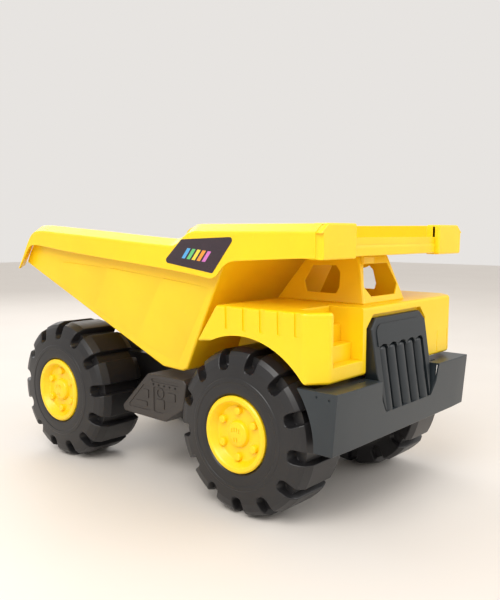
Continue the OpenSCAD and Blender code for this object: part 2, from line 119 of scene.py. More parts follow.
def rounded(outline, radii, steps=4, closed=True):
    """An outline with its corners turned into arcs. radii is one radius, or one for each corner."""
    if not hasattr(radii, "__len__"):
        radii = [radii] * len(outline)
    points = [Vector(p) for p in outline]
    last = len(points) - 1
    result = []
    for i, (corner, radius) in enumerate(zip(points, radii)):
        back = points[i - 1] - corner
        ahead = points[(i + 1) % len(points)] - corner
        if radius <= 0 or (not closed and i in (0, last)):
            result.append(tuple(corner))
            continue
        half = back.angle(ahead) / 2
        cut = min(radius / math.tan(half), back.length * 0.48, ahead.length * 0.48)
        if math.pi / 2 - half < 0.02 or cut < 1e-4:
            result.append(tuple(corner))
            continue
        radius = cut * math.tan(half)
        bisector = (back.normalized() + ahead.normalized()).normalized()
        centre = corner + bisector * radius / math.sin(half)
        first = corner + back.normalized() * cut - centre
        final = corner + ahead.normalized() * cut - centre
        sweep = first.angle(final)
        for k in range(steps + 1):
            share = k / steps
            spoke = first * math.sin((1 - share) * sweep) + final * math.sin(share * sweep)
            result.append(tuple(centre + spoke / math.sin(sweep)))
    return result


AXES = {
    "x": lambda u, v, w: (w, u, v),
    "y": lambda u, v, w: (u, w, v),
    "z": lambda u, v, w: (u, v, w),
}


def prism(axis, outline, start, end):
    """A solid swept straight along an axis. The outline is [y, z], [x, z] or [x, y] points."""
    bm = bmesh.new()
    turn = AXES[axis]
    ends = [[bm.verts.new(place(*turn(u, v, w))) for u, v in outline] for w in (start, end)]
    bm.faces.new(ends[0])
    bm.faces.new(ends[1])
    count = len(outline)
    for i in range(count):
        j = (i + 1) % count
        bm.faces.new((ends[0][i], ends[0][j], ends[1][j], ends[1][i]))
    bmesh.ops.recalc_face_normals(bm, faces=bm.faces)
    return to_object(bm)


def block(x0, x1, y0, y1, z0, z1):
    return prism("z", [(x0, y0), (x1, y0), (x1, y1), (x0, y1)], z0, z1)


def disc_outline(radius, u, v, steps=64):
    turns = [2 * math.pi * k / steps for k in range(steps)]
    return [(u + radius * math.cos(a), v + radius * math.sin(a)) for a in turns]


def shape(body, mode, *tools):
    """Cuts, joins or crosses a solid with others, which are used up."""
    for tool in tools:
        modifier = body.modifiers.new("shape", "BOOLEAN")
        modifier.operation = mode
        modifier.solver = "EXACT"
        modifier.object = tool
        settle(body)
        spent = tool.data
        bpy.data.objects.remove(tool)
        bpy.data.meshes.remove(spent)
    return body


def cut(body, *tools):
    return shape(body, "DIFFERENCE", *tools)


def cross(body, *tools):
    return shape(body, "INTERSECT", *tools)


def fuse(body, *tools):
    return shape(body, "UNION", *tools)


def ease(obj, width, segments=3, sharpest=28, shortest=0.0, flatten=True):
    """Rounds the edges that turn by more than a given angle and are longer than a given length."""
    bm = bmesh.new()
    bm.from_mesh(obj.data)
    bmesh.ops.remove_doubles(bm, verts=bm.verts, dist=0.02 * MM)
    if flatten:
        bmesh.ops.dissolve_limit(bm, angle_limit=math.radians(0.6), verts=bm.verts, edges=bm.edges)
    turn, length = math.radians(sharpest), shortest * MM
    edges = [
        edge for edge in bm.edges
        if edge.is_manifold and edge.calc_face_angle(0) > turn and edge.calc_length() > length
    ]
    bmesh.ops.bevel(
        bm, geom=edges, offset=width * MM, offset_type="OFFSET", segments=segments, profile=0.5,
        affect="EDGES", clamp_overlap=False,
    )
    bmesh.ops.remove_doubles(bm, verts=bm.verts, dist=0.01 * MM)
    bm.to_mesh(obj.data)
    bm.free()
    return obj


def both(build):
    """What build(side) makes on each side of the truck."""
    return [part for side in (-1, 1) for part in build(side)]


def finish_shading(obj, crease=38):
    """Smooth faces with crisp creases, and normals that lean towards the large faces."""
    obj.data.polygons.foreach_set("use_smooth", [True] * len(obj.data.polygons))
    obj.data.set_sharp_from_angle(angle=math.radians(crease))
    modifier = obj.modifiers.new("shading", "WEIGHTED_NORMAL")
    modifier.keep_sharp = True
    return settle(obj)


def piece(name, parts, body, finish, replaces=(), crease=38):
    """One finished piece: its parts joined in one mesh, given its material and tied to its body."""
    bm = bmesh.new()
    for part in parts:
        bm.from_mesh(part.data)
        spent = part.data
        bpy.data.objects.remove(part)
        bpy.data.meshes.remove(spent)
    bmesh.ops.dissolve_degenerate(bm, edges=bm.edges, dist=0.005 * MM)
    obj = to_object(bm, name)
    finish_shading(obj, crease)
    obj.data.materials.clear()
    obj.data.materials.append(finish)
    for polygon in obj.data.polygons:
        polygon.material_index = 0
    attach(obj, body)
    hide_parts(*replaces)
    return obj


# ---------- repeats made with Geometry Nodes ----------
def repeat_tree():
    """Copies what it is given Count times, each one Step further and Turn further round the X axis."""
    tree = bpy.data.node_groups.new("repeat_in_line_or_ring", "GeometryNodeTree")
    socket = tree.interface.new_socket
    socket("Geometry", in_out="INPUT", socket_type="NodeSocketGeometry")
    socket("Count", in_out="INPUT", socket_type="NodeSocketInt")
    socket("Step", in_out="INPUT", socket_type="NodeSocketVector")
    socket("Turn", in_out="INPUT", socket_type="NodeSocketFloat")
    socket("Weld", in_out="INPUT", socket_type="NodeSocketFloat")
    socket("Material", in_out="INPUT", socket_type="NodeSocketMaterial")
    socket("Geometry", in_out="OUTPUT", socket_type="NodeSocketGeometry")
    new, link = tree.nodes.new, tree.links.new
    given, result = new("NodeGroupInput"), new("NodeGroupOutput")
    index = new("GeometryNodeInputIndex")
    shift = new("ShaderNodeVectorMath")
    shift.operation = "SCALE"
    link(given.outputs["Step"], shift.inputs[0])
    link(index.outputs[0], shift.inputs["Scale"])
    points = new("GeometryNodePoints")
    link(given.outputs["Count"], points.inputs["Count"])
    link(shift.outputs[0], points.inputs["Position"])
    angle = new("ShaderNodeMath")
    angle.operation = "MULTIPLY"
    link(index.outputs[0], angle.inputs[0])
    link(given.outputs["Turn"], angle.inputs[1])
    around = new("ShaderNodeCombineXYZ")
    link(angle.outputs[0], around.inputs["X"])
    turned = new("FunctionNodeEulerToRotation")
    link(around.outputs[0], turned.inputs[0])
    copies = new("GeometryNodeInstanceOnPoints")
    link(points.outputs[0], copies.inputs["Points"])
    link(given.outputs["Geometry"], copies.inputs["Instance"])
    link(turned.outputs[0], copies.inputs["Rotation"])
    real = new("GeometryNodeRealizeInstances")
    link(copies.outputs[0], real.inputs[0])
    weld = new("GeometryNodeMergeByDistance")
    link(real.outputs[0], weld.inputs["Geometry"])
    link(given.outputs["Weld"], weld.inputs["Distance"])
    paint = new("GeometryNodeSetMaterial")
    link(weld.outputs[0], paint.inputs["Geometry"])
    link(given.outputs["Material"], paint.inputs["Material"])
    link(paint.outputs[0], result.inputs[0])
    return tree


REPEAT = repeat_tree()


def repeated(obj, finish, count, step=(0, 0, 0), turn=0.0, weld=1e-7):
    """The object repeated by the tree above and baked. step and weld are in metres, turn in degrees."""
    values = {
        "Count": count, "Step": step, "Turn": math.radians(turn), "Weld": weld, "Material": finish,
    }
    modifier = obj.modifiers.new("repeat", "NODES")
    modifier.node_group = REPEAT
    for item in REPEAT.interface.items_tree:
        if item.in_out == "INPUT" and item.name in values:
            modifier[item.identifier] = values[item.name]
    return settle(obj)


# ---------- effects shared by the materials ----------
def effect_group(name, inputs, outputs):
    tree = bpy.data.node_groups.new(name, "ShaderNodeTree")
    for label, value in inputs:
        socket = tree.interface.new_socket(label, in_out="INPUT", socket_type="NodeSocketFloat")
        socket.default_value = value
    for label in outputs:
        tree.interface.new_socket(label, in_out="OUTPUT", socket_type="NodeSocketFloat")
    return tree, tree.nodes.new("NodeGroupInput"), tree.nodes.new("NodeGroupOutput")


def math_node(tree, operation, *values, clamp=False):
    node = tree.nodes.new("ShaderNodeMath")
    node.operation = operation
    node.use_clamp = clamp
    for slot, value in zip(node.inputs, values):
        if isinstance(value, (int, float)):
            slot.default_value = value
        else:
            tree.links.new(value, slot)
    return node.outputs[0]


def noise_node(tree, vector, scale, detail=3.0, roughness=0.5):
    node = tree.nodes.new("ShaderNodeTexNoise")
    tree.links.new(vector, node.inputs["Vector"])
    if isinstance(scale, (int, float)):
        node.inputs["Scale"].default_value = scale
    else:
        tree.links.new(scale, node.inputs["Scale"])
    node.inputs["Detail"].default_value = detail
    node.inputs["Roughness"].default_value = roughness
    return node.outputs[0]


def moulded_grain():
    """The skin of a moulding: a fine spark-eroded grain over a slight waviness."""
    tree, given, result = effect_group(
        "moulded_grain", [("Grain Scale", 1800), ("Wave Scale", 60), ("Wave Share", 0.5)], ["Height"])
    where = tree.nodes.new("ShaderNodeTexCoord").outputs["Object"]
    fine = noise_node(tree, where, given.outputs["Grain Scale"], 2.0)
    wave = noise_node(tree, where, given.outputs["Wave Scale"], 1.0)
    waves = math_node(tree, "MULTIPLY", wave, given.outputs["Wave Share"])
    tree.links.new(math_node(tree, "ADD", fine, waves), result.inputs["Height"])
    return tree


def handling_marks():
    """Where hands and sand have been: a slow change of tone, and short fine scratches."""
    tree, given, result = effect_group(
        "handling_marks", [("Patch Scale", 14), ("Scratch Scale", 90), ("Scratch Amount", 0.5)],
        ["Tone", "Scratch"])
    where = tree.nodes.new("ShaderNodeTexCoord").outputs["Object"]
    tone = noise_node(tree, where, given.outputs["Patch Scale"], 4.0, 0.6)
    tree.links.new(math_node(tree, "MULTIPLY_ADD", tone, 2.2, -0.6, clamp=True), result.inputs["Tone"])
    scratches = []
    for stretch, tilt in (((1, 14, 1.4), 0.5), ((11, 1.2, 1), -0.7)):
        mapping = tree.nodes.new("ShaderNodeMapping")
        mapping.inputs["Scale"].default_value = stretch
        mapping.inputs["Rotation"].default_value = (tilt, tilt * 0.6, tilt)
        tree.links.new(where, mapping.inputs["Vector"])
        scratches.append(noise_node(tree, mapping.outputs[0], given.outputs["Scratch Scale"], 2.0))
    both_ways = math_node(tree, "MAXIMUM", *scratches)
    thin = math_node(tree, "MULTIPLY_ADD", both_ways, 9.0, -6.0, clamp=True)
    broken = math_node(tree, "MULTIPLY", thin, given.outputs["Scratch Amount"])
    tree.links.new(broken, result.inputs["Scratch"])
    return tree


GRAIN = moulded_grain()
MARKS = handling_marks()


def group_node(tree, group, **values):
    node = tree.nodes.new("ShaderNodeGroup")
    node.node_tree = group
    for label, value in values.items():
        node.inputs[label.replace("_", " ")].default_value = value
    return node


def mixed(tree, factor, first, second, blend="MIX"):
    """Two colours mixed by a factor. Each is a socket or an (r, g, b)."""
    node = tree.nodes.new("ShaderNodeMix")
    node.data_type = "RGBA"
    node.blend_type = blend
    if isinstance(factor, (int, float)):
        node.inputs[0].default_value = factor
    else:
        tree.links.new(factor, node.inputs[0])
    for slot, colour in ((node.inputs[6], first), (node.inputs[7], second)):
        if isinstance(colour, tuple):
            slot.default_value = (*colour, 1)
        else:
            tree.links.new(colour, slot)
    return node.outputs[2]


def new_material(name):
    material = bpy.data.materials.new(name)
    material.use_nodes = True
    tree = material.node_tree
    return material, tree, tree.nodes["Principled BSDF"]


def roughened(tree, shader, low, high, mask):
    rough = math_node(tree, "MULTIPLY_ADD", mask, high - low, low, clamp=True)
    tree.links.new(rough, shader.inputs["Roughness"])


def bumped(tree, shader, height, strength, distance_mm):
    bump = tree.nodes.new("ShaderNodeBump")
    bump.inputs["Strength"].default_value = strength
    bump.inputs["Distance"].default_value = distance_mm * MM
    tree.links.new(height, bump.inputs["Height"])
    tree.links.new(bump.outputs["Normal"], shader.inputs["Normal"])


def moulded_plastic(name, colour, faded, rough, grain, grain_mm, scratch=0.4, coat=0.0, glow=0.0):
    """Coloured plastic: its tone drifts, scratches dull it, and a fine grain breaks up the shine."""
    material, tree, shader = new_material(name)
    marks = group_node(tree, MARKS, Scratch_Amount=scratch)
    base = mixed(tree, marks.outputs["Tone"], colour, faded)
    pale = tuple(min(1.0, c * 1.6 + 0.03) for c in colour)
    base = mixed(tree, math_node(tree, "MULTIPLY", marks.outputs["Scratch"], 0.15), base, pale)
    tree.links.new(base, shader.inputs["Base Color"])
    wear = math_node(tree, "MULTIPLY_ADD", marks.outputs["Tone"], 0.35,
                     math_node(tree, "MULTIPLY", marks.outputs["Scratch"], 0.65), clamp=True)
    roughened(tree, shader, rough[0], rough[1], wear)
    skin = group_node(tree, GRAIN, Grain_Scale=grain)
    bumped(tree, shader, skin.outputs["Height"], 0.35, grain_mm)
    shader.inputs["IOR"].default_value = 1.48
    shader.inputs["Coat Weight"].default_value = coat
    shader.inputs["Coat Roughness"].default_value = 0.22
    shader.inputs["Subsurface Weight"].default_value = glow
    shader.inputs["Subsurface Radius"].default_value = (1.0, 0.5, 0.05)
    shader.inputs["Subsurface Scale"].default_value = 9 * MM
    return material


def plated_steel():
    """Bright zinc-plated steel with fine turning lines."""
    material, tree, shader = new_material("plated_steel")
    where = tree.nodes.new("ShaderNodeTexCoord").outputs["Object"]
    mapping = tree.nodes.new("ShaderNodeMapping")
    mapping.inputs["Scale"].default_value = (1, 0.08, 0.08)
    tree.links.new(where, mapping.inputs["Vector"])
    lines = noise_node(tree, mapping.outputs[0], 3200, 3.0)
    marks = group_node(tree, MARKS, Patch_Scale=120)
    tree.links.new(mixed(tree, marks.outputs["Tone"], (0.62, 0.62, 0.64), (0.46, 0.45, 0.44)),
                   shader.inputs["Base Color"])
    shader.inputs["Metallic"].default_value = 1.0
    roughened(tree, shader, 0.24, 0.46, lines)
    bumped(tree, shader, lines, 0.3, 0.03)
    return material


EMBLEM_MIDDLE = (56.0, 305.0)
EMBLEM_LEAN = 0.84
EMBLEM_RISE = 0.09


def printed_film():
    """A plum sticker with a row of five slanting coloured bars."""
    material, tree, shader = new_material("printed_film")
    split = tree.nodes.new("ShaderNodeSeparateXYZ")
    tree.links.new(tree.nodes.new("ShaderNodeTexCoord").outputs["Object"], split.inputs[0])
    along = math_node(tree, "ADD", split.outputs["Y"], -place(0, EMBLEM_MIDDLE[0], 0).y)
    up = math_node(tree, "ADD", split.outputs["Z"], -EMBLEM_MIDDLE[1] * MM)
    slant = math_node(tree, "MULTIPLY_ADD", up, EMBLEM_LEAN, along)
    rise = math_node(tree, "MULTIPLY_ADD", along, -EMBLEM_RISE, up)
    bar_pitch, bar_count, bar_height = 9.0 * MM, 5, 13.0 * MM
    step = math_node(tree, "ADD", math_node(tree, "DIVIDE", slant, bar_pitch), bar_count / 2)
    gap = math_node(tree, "GREATER_THAN", math_node(tree, "FRACT", step), 0.36)
    inside = math_node(tree, "MULTIPLY", math_node(tree, "GREATER_THAN", step, 0.0),
                       math_node(tree, "LESS_THAN", step, float(bar_count)))
    tall = math_node(tree, "LESS_THAN", math_node(tree, "ABSOLUTE", rise), bar_height / 2)
    mask = math_node(tree, "MULTIPLY", math_node(tree, "MULTIPLY", gap, inside), tall)
    ramp = tree.nodes.new("ShaderNodeValToRGB")
    ramp.color_ramp.interpolation = "CONSTANT"
    hues = ((0.60, 0.16, 0.50), (0.85, 0.30, 0.03), (0.80, 0.62, 0.05), (0.12, 0.50, 0.16),
            (0.08, 0.36, 0.70))
    for k, hue in enumerate(hues):
        stop = ramp.color_ramp.elements[k] if k < 2 else ramp.color_ramp.elements.new(k / bar_count)
        stop.position = k / bar_count
        stop.color = (*hue, 1)
    tree.links.new(math_node(tree, "DIVIDE", step, float(bar_count)), ramp.inputs[0])
    marks = group_node(tree, MARKS, Patch_Scale=30, Scratch_Amount=0.5)
    ground = mixed(tree, marks.outputs["Tone"], (0.022, 0.011, 0.020), (0.034, 0.016, 0.024))
    tree.links.new(mixed(tree, mask, ground, ramp.outputs[0]), shader.inputs["Base Color"])
    roughened(tree, shader, 0.22, 0.42, marks.outputs["Scratch"])
    shader.inputs["Coat Weight"].default_value = 0.3
    return material


YELLOW = moulded_plastic(
    "yellow_moulding", (0.97, 0.64, 0.004), (0.94, 0.585, 0.004), (0.34, 0.52), 1500, 0.05,
    scratch=0.5, coat=0.12, glow=0.15)
BLACK = moulded_plastic(
    "black_moulding", (0.010, 0.0095, 0.0105), (0.016, 0.0155, 0.0165), (0.36, 0.58), 1700, 0.06)
TYRE_BLACK = moulded_plastic(
    "tyre_moulding", (0.0095, 0.009, 0.010), (0.0145, 0.014, 0.015), (0.34, 0.54), 1300, 0.08,
    scratch=0.5)
SLATE = moulded_plastic(
    "slate_moulding", (0.016, 0.022, 0.027), (0.022, 0.030, 0.036), (0.34, 0.54), 1600, 0.06,
    scratch=0.7)
CHARCOAL = moulded_plastic(
    "charcoal_moulding", (0.010, 0.014, 0.017), (0.015, 0.020, 0.024), (0.34, 0.54), 1600, 0.06,
    scratch=0.7)
UMBER = moulded_plastic(
    "umber_moulding", (0.030, 0.025, 0.022), (0.042, 0.036, 0.032), (0.40, 0.62), 1600, 0.06)
STEEL = plated_steel()
FILM = printed_film()


# ---------- wheels ----------
LUGS = 13
SLOT_W = 15.0
SLOT_DEPTH = 8.0
SLOT_SINK = 6.5
SLOT_FOOT_R = 76.0
PITCH = 2 * math.pi / LUGS


def tyre_profile():
    """Closed outline of a tyre through a lug: [radius, distance out from the inner shoulder]."""
    corners = [
        ((9, -4), 0), ((22, -4), 2), ((30, 3), 2), ((58, 3), 3), ((72, 0.4), 3), ((95.8, 0.2), 1.4),
        ((99.9, 11), 2), ((99.9, 59), 2), ((95.8, 69.8), 1.4), ((91, 73.4), 2), ((82, 76.5), 3),
        ((66.5, 78.6), 0.4), ((65.6, 79.3), 0.3), ((61.4, 79.7), 0.3), ((60.6, 79.1), 0.4),
        ((54, 79.4), 2), ((48.5, 79.2), 1.5), ((CAP_R + 0.05, 76.5), 1.2), ((CAP_R + 0.05, 58), 0),
        ((9, 58), 0),
    ]
    outline = rounded(*zip(*corners), steps=3)
    rows = []
    for (r0, x0), (r1, x1) in zip(outline, outline[1:] + outline[:1]):
        rows.append((r0, x0))
        length = math.hypot(r1 - r0, x1 - x0)
        mean_r = (r0 + r1) / 2
        if mean_r < 60:
            spacing = 9.0
        elif abs(r1 - r0) > abs(x1 - x0):
            spacing = 1.3
        else:
            spacing = 5.0
        pieces = int(length // spacing)
        rows += [(r0 + (r1 - r0) * k / (pieces + 1), x0 + (x1 - x0) * k / (pieces + 1))
                 for k in range(1, pieces + 1)]
    return rows


def slot_share(radius, across):
    """How much of the slot's depth is cut at a point: 1 on its floor, 0 on the lug."""
    centre_r = SLOT_FOOT_R + SLOT_W / 2
    away = math.hypot(across, centre_r - radius) if radius < centre_r else abs(across)
    edge = away - SLOT_W / 2
    lip, floor, lip_share = 1.5, -0.7, 0.10
    if edge >= lip:
        return 0.0
    if edge >= 0.2:
        return lip_share * ((lip - edge) / (lip - 0.2)) ** 2
    if edge > floor:
        return lip_share + (1 - lip_share) * (0.2 - edge) / (0.2 - floor)
    return 1.0


def tyre_columns(radius):
    """Angles of the grid's columns over half a lug pitch, which follow the slot's walls."""
    steady = max(radius, 62.0)
    near = [0, 1.8, 3.6, 5.1, 6.2, 6.8, 7.15, 7.5, 7.7, 8.1, 8.6, 9.2, 11.0]
    angles = [math.asin(a / steady) for a in near]
    rest = 4
    start = angles[-1]
    return angles + [start + (PITCH / 2 - start) * k / rest for k in range(1, rest + 1)]


def tyre_sector():
    """One lug pitch of a tyre round the X axis, centred on a slot at its top."""
    bm = bmesh.new()
    grid = []
    for radius, out in tyre_profile():
        half = tyre_columns(radius)
        line = []
        for angle in [-a for a in half[:0:-1]] + half:
            share = slot_share(radius, radius * math.sin(angle))
            low_r = min(radius, TYRE_R - SLOT_DEPTH)
            low_x = min(max(out, SLOT_SINK), TREAD_W - SLOT_SINK)
            sunk_r = radius + (low_r - radius) * share
            sunk_x = out + (low_x - out) * share
            point = Vector((sunk_x, sunk_r * math.sin(angle), sunk_r * math.cos(angle)))
            line.append(bm.verts.new(point * MM))
        grid.append(line)
    for line, beyond in zip(grid, grid[1:] + grid[:1]):
        for k in range(len(line) - 1):
            bm.faces.new((line[k], line[k + 1], beyond[k + 1], beyond[k]))
    return to_object(bm)


def lathe(profile, steps=96):
    """A solid of revolution round the X axis through the origin, from [radius, x] points in mm."""
    bm = bmesh.new()
    rings = []
    for radius, x in profile:
        count = 1 if radius < 1e-6 else steps
        turns = [2 * math.pi * k / steps for k in range(count)]
        rings.append([
            bm.verts.new(Vector((x, radius * math.sin(a), radius * math.cos(a))) * MM) for a in turns
        ])
    pairs = list(zip(rings, rings[1:]))
    if profile[0][0] > 1e-6:
        pairs.append((rings[-1], rings[0]))
    for ring, beyond in pairs:
        for k in range(steps):
            j = (k + 1) % steps
            if len(ring) == 1:
                bm.faces.new((ring[0], beyond[j], beyond[k]))
            elif len(beyond) == 1:
                bm.faces.new((ring[k], ring[j], beyond[0]))
            else:
                bm.faces.new((ring[k], ring[j], beyond[j], beyond[k]))
    bmesh.ops.recalc_face_normals(bm, faces=bm.faces)
    return to_object(bm)


def cap_crown():
    """The round crown over the axle nut, with four slits above its middle and two below."""
    profile = rounded(
        [(0, 78.2), (9, 77.9), (14.4, 76), (16.6, 70), (13, 68), (12, 74), (0, 74)],
        [0, 10, 3, 1, 0.5, 1, 0], closed=False)
    crown = lathe(profile, 72)
    for y, z in [(-5.4, 4.5), (-1.8, 5.5), (1.8, 5.5), (5.4, 4.5), (-2, -6.5), (2, -6.5)]:
        slit = bmesh.new()
        bmesh.ops.create_cube(slit, size=1)
        bmesh.ops.transform(
            slit, matrix=Matrix.Diagonal((3 * MM, 1.1 * MM, 5 * MM, 1)), verts=slit.verts)
        bmesh.ops.translate(slit, vec=Vector((78.4, y, z)) * MM, verts=slit.verts)
        cut(crown, to_object(slit))
    return crown


def cap_dish():
    """The cap's raised rim and dished ring."""
    corners = [
        ((15, 72), 0.5), ((16.5, 71), 1), ((32.5, 71), 3), ((37.8, 79), 2), ((39.6, 81), 1.4),
        ((43.4, 81), 1.6), ((CAP_R, 79), 0.6), ((CAP_R, 62), 0), ((CAP_R - 2.5, 62), 0),
        ((CAP_R - 2.5, 77), 1), ((40, 77.5), 1), ((31, 68), 2), ((15, 68), 0),
    ]
    return lathe(rounded(*zip(*corners)), 128)


def cap_bosses():
    """Six round bosses on the dish."""
    boss = lathe(rounded([(0, 76), (4.6, 76), (5, 69.5), (0, 69.5)], [0, 1.4, 0, 0], closed=False), 24)
    boss.data.transform(Matrix.Translation((0, 0, 27.3 * MM)))
    return repeated(boss, YELLOW, 6, turn=60)


def at_wheel(obj, side, y, phase=0.0):
    """Turns an object made round the X axis into its place on one wheel."""
    matrix = (
        Matrix.Translation(place(0, y, AXLE_Z)) @ Matrix.Diagonal((side, 1, 1, 1))
        @ Matrix.Translation((TYRE_IN * MM, 0, 0)) @ Matrix.Rotation(phase, 4, "X")
    )
    obj.data.transform(matrix)
    bm = bmesh.new()
    bm.from_mesh(obj.data)
    bmesh.ops.recalc_face_normals(bm, faces=bm.faces)
    bm.to_mesh(obj.data)
    bm.free()
    return obj


def wheel(name, side, y, phase):
    tyre = repeated(tyre_sector(), TYRE_BLACK, LUGS, turn=math.degrees(PITCH), weld=0.01 * MM)
    tyre = at_wheel(tyre, side, y, phase)
    body = "wheel_" + name
    piece("lugged_tyre_" + name, [tyre], body, TYRE_BLACK, ["tyre_" + name], crease=42)
    cap = [at_wheel(part, side, y) for part in (cap_dish(), cap_crown(), cap_bosses())]
    piece("wheel_cap_" + name, cap, body, YELLOW, ["hub_cap_" + name])


# ---------- cab ----------
CHAMFER = 20.0
CAB_BACK_Y = 80
TAIL_TOP_Y = 33
TAIL_FOOT_Y = 65
SIDE_FOOT = 204.5
SKIRT_X = 80
SKIRT_FRONT_Y = -98
SKIRT_FOOT = 150.2
WHEEL_ARCH_R = 115
WHEEL_ARCH_Y = -5
GROOVE_DEPTH = 1.7
GROOVE_YS = [14, -12.5, -37.5, -62.5, -86]
STEP_XS = (-137, -78)
STEP_RUN = 15.0
STEP_RISE = 19.5
STEP_Z = 188.5
STEP_OVERLAP = 0.4


def cab_plan(inset):
    side = FENDER_X - inset
    corner = CHAMFER - inset * 0.4
    front = PANEL_Y + inset
    return [(-side, CAB_BACK_Y), (-side, front + corner), (-side + corner, front),
            (side - corner, front), (side, front + corner), (side, CAB_BACK_Y)]


def cab_side(inset):
    return [
        (PANEL_Y - 1, PANEL_FOOT - 2 * inset), (PANEL_Y - 1, DECK_Z - inset),
        (TAIL_TOP_Y - inset, DECK_Z - inset), (TAIL_FOOT_Y - inset * 1.2, 202 - 2 * inset),
        (41.5 - inset, SIDE_FOOT - 2 * inset), (WHEEL_ARCH_Y, SIDE_FOOT - 2 * inset),
        (WHEEL_ARCH_Y, PANEL_FOOT - 2 * inset),
    ]


def skirt_side(inset):
    return [
        (SKIRT_FRONT_Y + inset, SKIRT_FOOT - 2 * inset), (SKIRT_FRONT_Y + inset, DECK_Z - inset - 1),
        (TAIL_TOP_Y - inset, DECK_Z - inset - 1), (TAIL_FOOT_Y - inset * 1.2, 202),
        (84 - inset * 1.2, SKIRT_FOOT - 2 * inset),
    ]


def shell(inset):
    return cross(prism("z", cab_plan(inset), 100, DECK_Z + 5), prism("x", cab_side(inset), -170, 170))


def stair_blocks(grow, deeper=0.0):
    """The room that the stairwell takes out of the cab, one block for each tread."""
    return [
        block(
            STEP_XS[0] - grow, STEP_XS[1] + grow,
            PANEL_Y - 5, PANEL_Y + (i + 1) * STEP_RUN + grow + deeper,
            STEP_Z + i * STEP_RISE - grow - deeper, DECK_Z + 5,
        )
        for i in range(3)
    ]


def grille_recess(grow):
    side, shoulder, top = 71 + grow, 224 + grow, 239 + grow * 0.3
    outline = [(-side, 160), (-side, shoulder), (-57, top), (57, top), (side, shoulder), (side, 160)]
    return prism("y", outline, PANEL_Y - 5, PANEL_Y + 6 + grow)


def cab_body():
    outer = ease(shell(0), 3.8, 4)
    skirt = ease(prism("x", skirt_side(0), -SKIRT_X, SKIRT_X), 1.5, 2)
    fuse(outer, skirt)
    inner = shell(WALL)
    for tool in stair_blocks(WALL) + [grille_recess(WALL)]:
        cut(inner, tool)
    for side in (-1, 1):
        edges = sorted((side * (SKIRT_X - WALL - 0.2), side * (SKIRT_X + 0.6)))
        cut(inner, prism("x", skirt_side(0), *edges))
    for side in (-1, 1):
        edges = sorted((side * (SKIRT_X + 0.3), side * 170))
        cut(outer, prism("x", disc_outline(WHEEL_ARCH_R, WHEEL_ARCH_Y, AXLE_Z, 96), *edges))
    cut(outer, *stair_blocks(0, 1.0), grille_recess(0))
    for side in (-1, 1):
        for y in GROOVE_YS:
            notch = [(y - 3.6, 221), (y + 3.6, 221), (y + 4.2, 252), (y - 4.2, 252)]
            edges = sorted((side * (FENDER_X - GROOVE_DEPTH), side * (FENDER_X + 5)))
            cut(outer, prism("x", rounded(notch, [2, 2, 0, 0]), *edges))
    for x in (107, 136):
        groove = [(x - GROOVE_DEPTH, PANEL_Y - 1), (x, PANEL_Y + GROOVE_DEPTH),
                  (x + GROOVE_DEPTH, PANEL_Y - 1)]
        cut(outer, prism("z", groove, 160, 203))
    cut(outer, inner, prism("x", skirt_side(WALL), WALL - SKIRT_X, SKIRT_X - WALL))
    steps = []
    step_low_x, step_high_x = STEP_XS[0] - STEP_OVERLAP, STEP_XS[1] + STEP_OVERLAP
    for i in range(3):
        riser = PANEL_Y + i * STEP_RUN + (0.0 if i else 0.6)
        foot = STEP_Z + (i - 1) * STEP_RISE if i else STEP_Z - 3
        tread = block(step_low_x, step_high_x, riser, riser + STEP_RUN + 4, foot - 1,
                      STEP_Z + i * STEP_RISE)
        steps.append(ease(tread, 1.6, 3))
    back = PANEL_Y + 3 * STEP_RUN
    riser = block(step_low_x, step_high_x, back, back + 4, STEP_Z + 2 * STEP_RISE - 1, DECK_Z)
    steps.append(ease(riser, 1.6, 3))
    piece("cab_shell", [outer] + steps, "chassis", YELLOW, ["cab_body"])


HOUSE_FOOT = DECK_Z - 0.6
HOUSE_FOOT_X, HOUSE_TOP_X = 48.5, 34
HOUSE_FOOT_YS = (-98, 33)
HOUSE_TOP_YS = (-80, -6)


def house_front(inset):
    foot_x, top_x, top = HOUSE_FOOT_X - inset, HOUSE_TOP_X - inset, HOUSE_Z - inset
    return [(-foot_x, HOUSE_FOOT), (-top_x, top), (top_x, top), (foot_x, HOUSE_FOOT)]


def house_side(inset, back):
    lean = inset * 1.05
    return [(HOUSE_FOOT_YS[0] + lean, HOUSE_FOOT), (HOUSE_TOP_YS[0] + lean, HOUSE_Z - inset),
            (HOUSE_TOP_YS[1] + back, HOUSE_Z - inset), (HOUSE_FOOT_YS[1] + back, HOUSE_FOOT)]


def cab_house():
    outer = ease(
        cross(prism("y", house_front(0), -110, 50), prism("x", house_side(0, 0), -60, 60)), 2.6, 4)
    inner = cross(prism("y", house_front(WALL), -110, 60), prism("x", house_side(WALL, 20), -60, 60))
    window = rounded(
        [(-6.5, 271.6), (-16, 291), (-50, 292), (-57.5, 284), (-59.5, 266), (-56, 258.5),
         (-13, 259)], 2.4)
    windscreen = rounded([(-28, 256), (-39, 268), (-28, 294), (28, 294), (39, 268), (28, 256)], 2.5)
    cut(outer, inner, prism("x", window, -60, 60), prism("y", windscreen, -110, -60))
    ease(outer, 0.6, 2, sharpest=50, flatten=False)
    brow = ease(block(-32, -8, -86.5, -79.5, 294.5, 303.5), 1.2, 3)
    piece("driver_house", [outer, brow], "chassis", YELLOW, ["cab_house"])


# ---------- grille and bumper ----------
LEAN = 9.5
SLOPE = math.tan(math.radians(LEAN))
BAR_COUNT = 5
BAR_PITCH = 21.8
BAR_HALF_W = 8.4
BAR_DEPTH = 5.2
BAR_TOP = 76.0
BAR_ARCH = 5.0
BAR_SIDES = 32
POCKET_X = 51.0
GRILLE_RISE = 110
PANEL_X = 56
GRILLE_Y = NOSE_Y + 3.2


